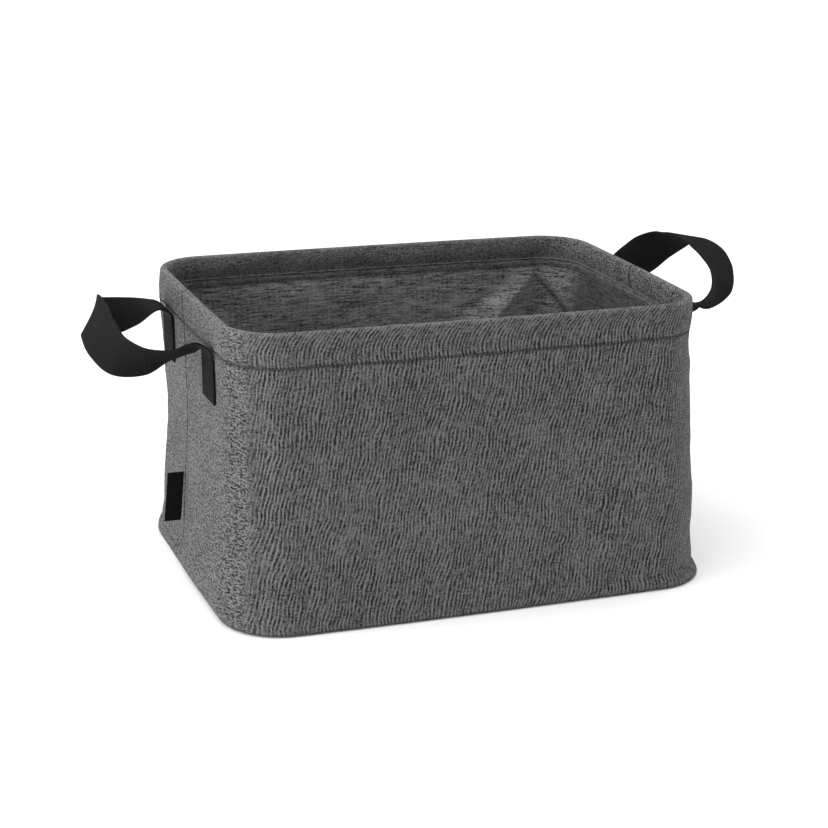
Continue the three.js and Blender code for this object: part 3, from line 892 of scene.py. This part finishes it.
def buildTape():
    rows = evenHeights(tape["bottom"], tape["top"], tape["step"])
    return clothBand("rimTape", wholeLoop, rows, tape["inset"], tape["thickness"], tape["spacing"],
                     tapeRelief, materials["foldedTape"], tapeShade)


floorCloth = dict(inset=3.75, rimHeight=6.0, bottom=4.4, thickness=0.8, puff=1.6, rings=34, centre=0.012,
                  spacing=7.0, lined=0.3, worn=0.1)


def buildBaseLining():
    stretch, t, _ = columnsAlong(wholeLoop, floorCloth["spacing"])
    rim, _ = outlineAt(stretch[:-1], t[:-1], np.array(floorCloth["rimHeight"]), np.array(floorCloth["inset"]))
    scales = np.linspace(1, floorCloth["centre"], floorCloth["rings"])
    flat = scales[:, None, None] * rim[None, :, :2]
    where = np.concatenate([flat, np.zeros(flat.shape[:2] + (1,))], -1)
    puff = 0.5 + 0.5 * softNoise(where, 51, 60, 160) + 0.18 * softNoise(where, 52, 14, 34)
    puff = floorCloth["puff"] * np.clip(puff, 0, 1.4) * np.clip((1 - scales) * 9, 0, 1)[:, None]
    lower = np.concatenate([flat, (floorCloth["bottom"] + puff)[..., None]], -1)
    upper = lower + np.array([0, 0, floorCloth["thickness"]])
    rings = np.concatenate([lower[::-1], upper])
    rowCount, columnCount = rings.shape[:2]
    heights = rings[..., 2].copy()
    rings = lean(rings * (1, 1, 0), layers["leanFrom"])
    rings[..., 2] = heights
    points = rings.reshape(-1, 3)
    index = np.arange(len(points)).reshape(rowCount, columnCount)
    following = np.roll(index, -1, 1)
    corners = (index[:-1], following[:-1], following[1:], index[1:])
    faces = np.stack(corners, -1).reshape(-1, 4).tolist()
    faces += [index[0][::-1].tolist(), index[-1].tolist()]
    uvs = [tuple(points[k][:2]) for face in faces for k in face]
    ones = np.ones(len(points))
    marks = dict(lined=ones * floorCloth["lined"], worn=ones * floorCloth["worn"])
    return objectFrom("baseLining", points, faces, uvs, marks, materials["liningCloth"])


casings = dict(Back=buildCasing("Back", backHalf), Front=buildCasing("Front", frontHalf))
rimTape = buildTape()
baseLining = buildBaseLining()
print("hem, tape and base lining made")

# Webbing handles

webbing = dict(width=38, thickness=1.8, edgeRound=0.9, endBottom=189, root=229, gap=0.3, ribPitch=1.7,
               ribHeight=0.11, stepLength=0.43, meltedLip=1.4, lipShare=0.55, girth=80)
middle = webbing["gap"] + webbing["thickness"] / 2      # from the cloth to the middle of the webbing

# Stations of each loop: its middle as [out from the wall, across, up], and the way its edge points
leftLoop = [
    ((0, -66, 229), (0, -1, 0)), ((2.4, -65.6, 235), (.05, -.97, .2)), ((11, -64, 236.5), (.25, -.85, .45)),
    ((28, -61, 231), (.25, -.87, .43)), ((53, -59, 226), (.1, -.6, .8)), ((75, -48, 230.5), (-.35, -.25, .9)),
    ((83, -25, 240), (-.58, -.1, .8)), ((83.5, 1, 247), (-.6, 0, .8)), ((81, 27, 247), (-.5, .05, .87)),
    ((73, 51, 241), (-.2, .22, .95)), ((60, 68, 235), (.12, .53, .84)), ((37, 76, 236), (.2, .84, .5)),
    ((11, 77, 240), (0, 1, 0)), ((2.4, 77, 235.5), (0, 1, 0)), ((0, 77, 229), (0, 1, 0))]
rightLoop = [
    ((0, -72, 229), (0, -1, 0)), ((4, -72.6, 237), (-.04, -1, 0)), ((20, -75, 244), (-.18, -.98, .06)),
    ((39, -77, 250), (-.33, -.64, .7)), ((54, -68, 264), (-.74, -.15, .66)), ((60, -48, 277), (-.93, 0, .37)),
    ((61, -24, 286), (-.98, 0, .2)), ((61, 1, 289), (-.98, 0, .2)), ((60, 25, 287), (-.98, 0, .2)),
    ((59, 46, 279), (-.9, .07, .44)), ((53, 65, 268), (-.75, .14, .64)), ((39, 76, 254), (-.42, .59, .69)),
    ((18, 75, 244), (-.2, .95, .24)), ((4, 74.3, 237), (-.04, .99, .04)), ((0, 74, 229), (0, 1, 0))]
sides = (("Left", -1, leftLoop), ("Right", 1, rightLoop))


# A point of the smooth curve through the stations, t being 0 at the first and 1 at the last
def smoothCurve(stations, t):
    stations = np.array(stations, float)
    last = len(stations) - 1
    place = t * last
    k = min(int(place), last - 1)
    part = place - k
    before = stations[k - 1] if k > 0 else 2 * stations[0] - stations[1]
    after = stations[k + 2] if k + 2 <= last else 2 * stations[last] - stations[last - 1]
    a, b = stations[k], stations[k + 1]
    gaps = [max(math.sqrt(np.linalg.norm(q - p)), 1e-4) for p, q in ((before, a), (a, b), (b, after))]
    slopeA = ((a - before) / gaps[0] - (b - before) / (gaps[0] + gaps[1]) + (b - a) / gaps[1]) * gaps[1]
    slopeB = ((b - a) / gaps[1] - (after - a) / (gaps[1] + gaps[2]) + (after - b) / gaps[2]) * gaps[1]
    c2, c3 = -3 * a + 3 * b - 2 * slopeA - slopeB, 2 * a - 2 * b + slopeA + slopeB
    return a + slopeA * part + c2 * part ** 2 + c3 * part ** 3


def endWallX(y, z):
    halfLength, halfWidth, _ = sizeAt(np.asarray(z, float))
    return halfLength + shell["bowEnd"] * (1 - (y / halfWidth) ** 2)


# Cross-section of the webbing: a flat strip with rounded edges, as [across, out]
def webbingSection():
    thick, rounding = webbing["thickness"] / 2, webbing["edgeRound"]
    straight = webbing["width"] / 2 - rounding
    flat = np.linspace(-straight, straight, 13)
    arc = [(straight + rounding * math.cos(a), thick * math.sin(a)) for a in np.linspace(-1.2, 1.2, 5)]
    mirrored = [(-x, y) for x, y in arc[::-1]]
    return np.array([(x, -thick) for x in flat] + arc + [(x, thick) for x in flat[::-1]] + mirrored)


def averaged(values, reach):
    padded = np.concatenate([np.repeat(values[:1], reach, 0), values, np.repeat(values[-1:], reach, 0)])
    kernel = np.ones(2 * reach + 1) / (2 * reach + 1)
    return np.stack([np.convolve(padded[:, k], kernel, "valid") for k in range(values.shape[1])], 1)


# Geometry Nodes trees with one input for each number, and a mesh with its material at the end
def newTree(name, numbers):
    tree = bpy.data.node_groups.new(name, "GeometryNodeTree")
    face = tree.interface
    face.new_socket(name="Geometry", in_out="INPUT", socket_type="NodeSocketGeometry")
    for label, value in numbers.items():
        kind = "NodeSocketInt" if isinstance(value, int) else "NodeSocketFloat"
        face.new_socket(name=spaced(label), in_out="INPUT", socket_type=kind).default_value = value
    face.new_socket(name="Material", in_out="INPUT", socket_type="NodeSocketMaterial")
    face.new_socket(name="Geometry", in_out="OUTPUT", socket_type="NodeSocketGeometry")
    return tree, tree.nodes.new("NodeGroupInput").outputs


def endTree(tree, given, geometry):
    nodes, links = tree.nodes, tree.links
    realize, paint = nodes.new("GeometryNodeRealizeInstances"), nodes.new("GeometryNodeSetMaterial")
    links.new(geometry, realize.inputs[0])
    links.new(realize.outputs[0], paint.inputs["Geometry"])
    links.new(given["Material"], paint.inputs["Material"])
    links.new(paint.outputs[0], nodes.new("NodeGroupOutput").inputs[0])
    return tree


def readField(tree, name, kind):
    field = tree.nodes.new("GeometryNodeInputNamedAttribute")
    field.data_type = kind
    field.inputs["Name"].default_value = name
    return field.outputs["Attribute"]


# Lifts the strip's surface in even ribs along its length
def ribbedTree():
    tree, given = newTree("webbingRibs", dict(ribPitch=1.7, ribHeight=0.1))
    nodes, links = tree.nodes, tree.links
    wave = ripples(tree, readField(tree, "runLength", "FLOAT"), given["Rib Pitch"])
    scaled = nodes.new("ShaderNodeVectorMath")
    scaled.operation = "SCALE"
    links.new(nodes.new("GeometryNodeInputNormal").outputs[0], scaled.inputs[0])
    links.new(calc(tree, "MULTIPLY", wave, given["Rib Height"], mm), scaled.inputs["Scale"])
    move = nodes.new("GeometryNodeSetPosition")
    links.new(given["Geometry"], move.inputs["Geometry"])
    links.new(scaled.outputs[0], move.inputs["Offset"])
    return endTree(tree, given, move.outputs[0])


# Runs a Geometry Nodes tree on an object and keeps only the plain mesh that it makes
def applyTree(thing, tree, **values):
    modifier = thing.modifiers.new(tree.name, "NODES")
    modifier.node_group = tree
    sockets = {s.name: s.identifier for s in tree.interface.items_tree if s.in_out == "INPUT"}
    for label, value in values.items():
        modifier[sockets[spaced(label)]] = value
    thing.update_tag()
    depsgraph = bpy.context.evaluated_depsgraph_get()
    result = bpy.data.meshes.new_from_object(thing.evaluated_get(depsgraph))
    old = thing.data
    thing.modifiers.clear()
    thing.data = result
    result.name = thing.name
    bpy.data.meshes.remove(old)
    result.polygons.foreach_set("use_smooth", [True] * len(result.polygons))
    result.update()


webbingRibs = ribbedTree()


# A ribbed strip from its section's rows of points, which run steps millimetres along the webbing
def ribbedStrip(name, rows, steps, girth, worn, material):
    marks = {"worn": np.broadcast_to(worn, rows.shape[:2]),
             "runLength": np.broadcast_to(steps[None], rows.shape[:2])}
    strip = tubeOfRows(name, rows, steps, list(girth), marks, materials[material], False)
    # length runs along the ribs' axis, so the two UV directions change places
    layer = strip.data.uv_layers["unrolled"]
    flat = np.zeros(len(layer.data) * 2)
    layer.data.foreach_get("uv", flat)
    layer.data.foreach_set("uv", flat.reshape(-1, 2)[:, ::-1].ravel())
    applyTree(strip, webbingRibs, ribPitch=webbing["ribPitch"], ribHeight=webbing["ribHeight"],
              material=materials[material])
    return strip


def unit(vectors):
    return vectors / np.linalg.norm(vectors, axis=1)[:, None]


def buildLoop(side, stations, name):
    places, turns = zip(*stations)
    innerEdge = abs(places[0][1]) - webbing["width"] / 2
    rootX = float(endWallX(innerEdge, webbing["root"])) + middle
    share = np.linspace(0, 1, 1600)
    centre = np.array([smoothCurve(places, t) for t in share])
    edge = np.array([smoothCurve(turns, t) for t in share])
    nearEnds = np.clip(np.abs(share - 0.5) * 14 - 5.6, 0, 1)[:, None]    # the twist is eased only by the wall
    edge = averaged(edge, 9) * (1 - nearEnds) + averaged(edge, 40) * nearEnds
    edge[0], edge[-1] = turns[0], turns[-1]
    run = runAlong(centre)
    even = np.linspace(0, run[-1], int(run[-1] / webbing["stepLength"]))
    centre, edge = (np.stack([np.interp(even, run, path[:, k]) for k in range(3)], 1)
                    for path in (centre, edge))
    centre[:, 0] = side * (rootX + centre[:, 0])
    edge[:, 0] *= side
    tangent = unit(np.gradient(centre, axis=0))
    edge = unit(edge - tangent * (edge * tangent).sum(1)[:, None])
    out = np.cross(edge, tangent)
    section = webbingSection()
    rows = centre[None] + section[:, :1, None] * edge[None] + section[:, 1:, None] * out[None]
    worn = (np.abs(section[:, :1]) > webbing["width"] / 2 - 1.2) * 1.0
    girth = runAlong(np.vstack([section, section[:1]]))
    print(name, "length", round(float(run[-1])), "mm")
    return ribbedStrip(name, rows, runAlong(centre), girth, worn, "blackWebbing")


def buildStrapEnd(side, centreY, name):
    bottom, top = webbing["endBottom"], webbing["root"] - webbing["gap"]
    z = np.linspace(top, bottom, int((top - bottom) / webbing["stepLength"]))
    section = webbingSection()
    across, out = section[:, :1], section[:, 1:]
    y = centreY + across + 0 * z
    # the cut end is melted to a slightly thinner, rounded lip
    nearCut = rise(z, bottom, webbing["meltedLip"]) ** 0.5
    lip = webbing["lipShare"] + (1 - webbing["lipShare"]) * nearCut
    x = side * (endWallX(y, z) + middle + out * lip)
    rows = lean(np.stack([x, y, np.broadcast_to(z, y.shape)], -1))[::-side]
    girth = np.linspace(0, webbing["girth"], len(section) + 1)
    return ribbedStrip(name, rows, z[0] - z, girth, hump(z, bottom, 1.5)[None], "shadedWebbing")


loops = {word: buildLoop(side, stations, "strapLoop" + word) for word, side, stations in sides}
strapEnds = {word + place: buildStrapEnd(side, stations[index][0][1], "strapEnd" + word + place)
             for word, side, stations in sides for index, place in ((0, "Front"), (-1, "Rear"))}
print("handles made")

# Blank side tag, folded in a loop and sewn into the left seam

tag = dict(reach=15, bottom=46, top=93, seamY=25, loopThickness=0.9, ply=0.38, bend=0.9, rows=46,
           tuckedIn=0.4, worn=0.8, girth=64)


def buildTag():
    heights = np.linspace(tag["bottom"], tag["top"], tag["rows"])
    half = tag["loopThickness"] / 2
    turnAt = tag["reach"] - half
    steps = np.linspace(-tag["tuckedIn"], turnAt, 16)

    def folded(gap):
        turn = [(turnAt + gap * math.cos(a), gap * math.sin(a)) for a in np.linspace(-1.1, 1.1, 5)]
        return [(s, -gap) for s in steps] + turn + [(s, gap) for s in steps[::-1]]

    out, thick = np.array(folded(half) + folded(half - tag["ply"])[::-1]).T[..., None]
    sway = np.sin((heights - tag["bottom"]) / 46 * 2.2 + 0.5)
    x = -(endWallX(tag["seamY"], heights) + out)
    y = tag["seamY"] + thick + tag["bend"] * (out / tag["reach"]) ** 2 * sway
    rows = np.stack([x, y, np.broadcast_to(heights, x.shape)], -1)
    worn = tag["worn"] * (hump(heights, tag["bottom"], 1.2) + hump(heights, tag["top"], 1.2))
    girth = list(np.linspace(0, tag["girth"], len(rows) + 1))
    marks = dict(worn=np.broadcast_to(worn, x.shape))
    return tubeOfRows("sideTag", rows, list(heights), girth, marks, materials["blackLabel"], False)


sideTag = buildTag()
print("tag made")

# Stitching


# Lays one stitch at every step along each guide line, proud of the cloth
def stitchTree():
    tree, given = newTree("laidStitches", dict(stitchPitch=3.2, stitchLength=2.4, threadWidth=0.5, seed=4))
    nodes, links = tree.nodes, tree.links
    curve = nodes.new("GeometryNodeMeshToCurve")
    links.new(given["Geometry"], curve.inputs["Mesh"])
    even = nodes.new("GeometryNodeResampleCurve")
    even.mode = "LENGTH"
    links.new(curve.outputs[0], even.inputs["Curve"])
    links.new(calc(tree, "MULTIPLY", given["Stitch Pitch"], mm), even.inputs["Length"])
    alongLine = nodes.new("FunctionNodeAlignRotationToVector")
    alongLine.axis = "X"
    links.new(nodes.new("GeometryNodeInputTangent").outputs[0], alongLine.inputs["Vector"])
    offCloth = nodes.new("FunctionNodeAlignRotationToVector")
    offCloth.axis, offCloth.pivot_axis = "Z", "X"
    links.new(alongLine.outputs[0], offCloth.inputs["Rotation"])
    links.new(readField(tree, "away", "FLOAT_VECTOR"), offCloth.inputs["Vector"])
    bead = nodes.new("GeometryNodeMeshUVSphere")
    for label, value in (("Segments", 6), ("Rings", 5), ("Radius", 0.5)):
        bead.inputs[label].default_value = value
    vary = nodes.new("FunctionNodeRandomValue")
    vary.data_type = "FLOAT"
    links.new(given["Seed"], vary.inputs["Seed"])
    low, high = [s for s in vary.inputs if s.enabled and s.name in ("Min", "Max")]
    low.default_value, high.default_value = 0.82, 1.08
    varied = next(s for s in vary.outputs if s.enabled)
    thin = calc(tree, "MULTIPLY", given["Thread Width"], mm)
    size = nodes.new("ShaderNodeCombineXYZ")
    for k, value in enumerate((calc(tree, "MULTIPLY", given["Stitch Length"], mm, varied), thin, thin)):
        links.new(value, size.inputs[k])
    lay = nodes.new("GeometryNodeInstanceOnPoints")
    for label, value in (("Points", even.outputs[0]), ("Instance", bead.outputs["Mesh"]),
                         ("Rotation", offCloth.outputs[0]), ("Scale", size.outputs[0])):
        links.new(value, lay.inputs[label])
    return endTree(tree, given, lay.outputs[0])


laidStitches = stitchTree()

# Each seam's stitches as pitch, length and thread, and where its lines run
stitches = dict(
    hem=dict(pitch=3.3, length=2.6, thread=0.6), facing=dict(pitch=2.6, length=2.4, thread=0.7),
    seam=dict(pitch=3.3, length=2.34, thread=0.54), strap=dict(pitch=2.9, length=2.4, thread=0.5),
    anchor=dict(pitch=3.0, length=1.7, thread=0.6), lineSpacing=2.6, hemLine=237.4,
    tapeLine=238.2, tapeInset=5.6, facingLine=244.6, facingInset=7.0, seamFrom=14, seamTo=235,
    boxInset=4, boxBottom=193, boxTop=225)


def stitchMesh(name, lines, kind, seed, material):
    points, edges, away = [], [], []
    for line, normals, closed in lines:
        start = len(points)
        points += (np.asarray(line) * mm).tolist()
        away += np.asarray(normals).tolist()
        edges += [(start + k, start + k + 1) for k in range(len(line) - 1)]
        if closed:
            edges.append((start + len(line) - 1, start))
    mesh = bpy.data.meshes.new(name)
    mesh.from_pydata(points, edges, [])
    field = mesh.attributes.new("away", "FLOAT_VECTOR", "POINT")
    field.data.foreach_set("vector", np.asarray(away, dtype=float).ravel())
    thing, size = linked(name, mesh), stitches[kind]
    applyTree(thing, laidStitches, stitchPitch=size["pitch"], stitchLength=size["length"],
              threadWidth=size["thread"], seed=seed, material=materials[material])
    return thing


# A line round the bin at one height, standing off the surface that it is sewn to
def roundLine(z, inset, relief, standOff, inside):
    stretch, t, u = columnsAlong(wholeLoop, stitches["lineSpacing"])
    stretch, t, u = stretch[:-1], t[:-1], u[:-1]
    height = np.array([[float(z)]])
    points, normals = outlineAt(stretch[None], t[None], height, np.array(float(inset)))
    shift = relief(stretch[None], u[None], height, points) + (-standOff if inside else standOff)
    line = (points + normals * shift[..., None])[0]
    return line, normals[0] * (-1 if inside else 1), True


def seamLine(u, bottom, top, standOff):
    k = 0 if u == rightSeam else 5
    z = np.arange(bottom, top, 2.0)[:, None]
    stretch, t = np.array([[k]]), np.array([[0.0]])
    points, normals = outlineAt(stretch, t, z, np.array(0.0))
    shift = wallRelief(stretch, np.array([[u]]), z, points) + standOff
    return lean(points + normals * shift[..., None])[:, 0], normals[:, 0], False


# A point on the inside of the lining at an end wall
def onLining(side, y, z):
    _, halfWidth, radius = sizeAt(np.array(float(z)))
    fy, seam = float(halfWidth - radius), shell["leftSeam"]
    if side > 0:
        k, t = (0, y / fy) if y >= 0 else (9, 1 + y / fy)
    else:
        k, t = (4, (fy - y) / (fy - seam)) if y >= seam else (5, (seam - y) / (fy + seam))
    stretch, share, height = np.array([[k]]), np.array([[t]]), np.array([[float(z)]])
    depth = layers["liningInset"] + layers["liningThickness"]
    points, normals = outlineAt(stretch, share, height, np.array(depth))
    shift = liningMove(stretch, np.array([[starts[k] + lengths[k] * t]]), height, points) - 0.15
    return lean(points + normals * shift[..., None])[0, 0]


# Box with a cross in it, sewn through a strap end: on its face, or where it shows on the lining
def boxLines(side, centreY, onFace):
    half, low, high = webbing["width"] / 2 - stitches["boxInset"], stitches["boxBottom"], stitches["boxTop"]
    box = [(-half, low), (half, low), (half, high), (-half, high), (-half, low)]
    lines = []
    for path in (box, [(-half, low), (half, high)], [(half, low), (-half, high)]):
        dense = []
        for (y0, z0), (y1, z1) in zip(path[:-1], path[1:]):
            count = max(2, int(math.hypot(y1 - y0, z1 - z0) / 1.5))
            dense += [(y0 + (y1 - y0) * k / count, z0 + (z1 - z0) * k / count) for k in range(count)]
        dense = [(centreY + y, z) for y, z in dense + path[-1:]]
        if onFace:
            stand = middle + webbing["thickness"] / 2 + 0.1
            line = lean(np.array([(side * (float(endWallX(y, z)) + stand), y, z) for y, z in dense]))
        else:
            line = np.array([onLining(side, y, z) for y, z in dense])
        lines.append((line, [(side if onFace else -side, 0, 0)] * len(line), False))
    return lines


def noRelief(stretch, u, z, points):
    return np.zeros(points.shape[:-1])


def buildStitches():
    s = stitches
    hemLine = roundLine(s["hemLine"], 0.0, hemRelief, 0.32, False)
    tapeLine = roundLine(s["tapeLine"], s["tapeInset"], noRelief, 0.12, True)
    facingLine = roundLine(s["facingLine"], s["facingInset"], noRelief, 0.15, True)
    seams = [seamLine(seam, s["seamFrom"], s["seamTo"], 0.25) for seam in (rightSeam, leftSeam)]
    ends = [(side, stations[index][0][1]) for _, side, stations in sides for index in (0, -1)]
    outer, inner = ([line for side, y in ends for line in boxLines(side, y, onFace)]
                    for onFace in (True, False))
    return {name: stitchMesh(name, lines, kind, seed, material) for name, lines, kind, seed, material in (
        ("hemStitches", [hemLine, tapeLine], "hem", 4, "blackThread"),
        ("facingStitches", [facingLine], "facing", 5, "greyThread"),
        ("seamStitches", seams, "seam", 6, "blackThread"),
        ("anchorStitches", inner, "anchor", 8, "blackThread"),
        ("strapEndStitches", outer, "strap", 7, "blackThread"))}


sewing = buildStitches()
print("stitching laid")

# CAD nodes that stay


def refinish(node, material):
    thing = bpy.data.objects[node]
    for slot in thing.material_slots:
        slot.material = material
    if not thing.material_slots:
        thing.data.materials.append(material)


for node, finish in (("base_binding", "bindingTape"), ("underside_cover", "undersideFleece"),
                     ("base_board", "greyBoard"), ("rim_wire", "zincWire"), ("wire_sleeve", "zincWire")):
    refinish(node, materials[finish])

# How the pieces move: heights in metres, as in the frame

drop = dict(travel=0.165, wallTop=0.236, liningFoot=0.0053, strapTop=0.2287,
            loopRoot=(0.2225, 0, 0.229), loopReach=0.018)
wallKeep = 1 - drop["travel"] / drop["wallTop"]
liningKeep = 1 - drop["travel"] / (drop["wallTop"] - drop["liningFoot"])
strapKeep = 1 - drop["travel"] / drop["strapTop"]


def attach(thing, body, nodes=(), keep=None):
    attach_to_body(thing, body)
    if nodes:
        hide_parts(*nodes)
    if keep:
        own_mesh(thing)


for side in ("Back", "Front"):
    low = side.lower()
    attach(walls["outerWall" + side], "base", ["wall_" + low], wallKeep)
    attach(walls["wallFoam" + side], "base", ["wall_foam_" + low], wallKeep)
    attach(walls["liningWall" + side], "base", ["lining_" + low], liningKeep)
    attach(casings[side], "rim", ["hem_casing_" + low])
attach(rimTape, "rim", ["rim_tape"])
attach(baseLining, "base", ["base_lining"])
attach(sideTag, "base", ["side_tag"], wallKeep)
for word, side, _ in sides:
    loop, low = loops[word], word.lower()
    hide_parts("handle_loop_" + low)
    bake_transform(loop)
    for place in ("Front", "Rear"):
        node = "handle_end_" + low + "_" + place.lower()
        attach(strapEnds[word + place], "base", [node], strapKeep)
attach(sewing["hemStitches"], "rim")
attach(sewing["facingStitches"], "rim")
attach(sewing["seamStitches"], "base", keep=wallKeep)
attach(sewing["anchorStitches"], "base", keep=liningKeep)
attach(sewing["strapEndStitches"], "base", keep=strapKeep)

# What each sheet was cut to, in metres

flatSizes = dict(outerWallBack=(0.69, 0.24), outerWallFront=(0.75, 0.24), liningWallBack=(0.67, 0.236),
                 liningWallFront=(0.74, 0.236), wallFoamBack=(0.68, 0.225), wallFoamFront=(0.74, 0.225))
for name, size in flatSizes.items():
    side = "Back" if name.endswith("Back") else "Front"
    word = name[:-len(side)]
